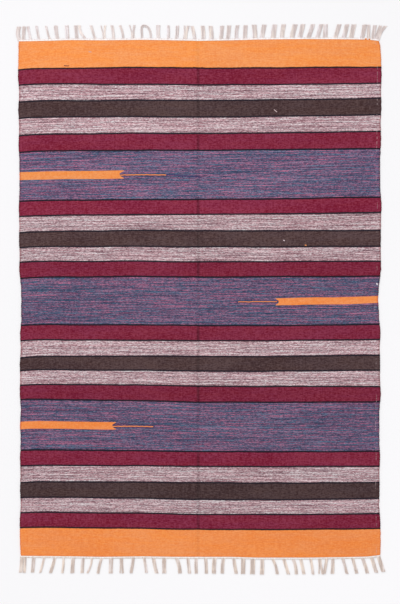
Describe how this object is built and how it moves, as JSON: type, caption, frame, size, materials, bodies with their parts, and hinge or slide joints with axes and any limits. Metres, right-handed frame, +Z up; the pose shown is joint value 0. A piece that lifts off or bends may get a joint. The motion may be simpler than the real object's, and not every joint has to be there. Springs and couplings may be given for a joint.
{
  "type": "kilim rug",
  "caption": "Flat-woven kilim rug with horizontal bands, lying flat, with a narrow cotton heading and short tassels at both ends.",
  "frame": {"origin": "on the floor, under the middle of the whole rug, tassels included", "axes": "+X across the rug, +Y along the rug to its far end, +Z up out of its face"},
  "size_m": [1.417, 2.131, 0.004],
  "materials": {
    "woven_cloth": "matt weft-faced weave in bands of orange, maroon, pink-grey marl, brown and violet marl",
    "undyed_cotton": "matt undyed cotton yarn"
  },
  "bodies": {
    "root": {"panel": "woven_cloth", "fringe_far": "undyed_cotton", "fringe_near": "undyed_cotton"}
  },
  "joints": []
}
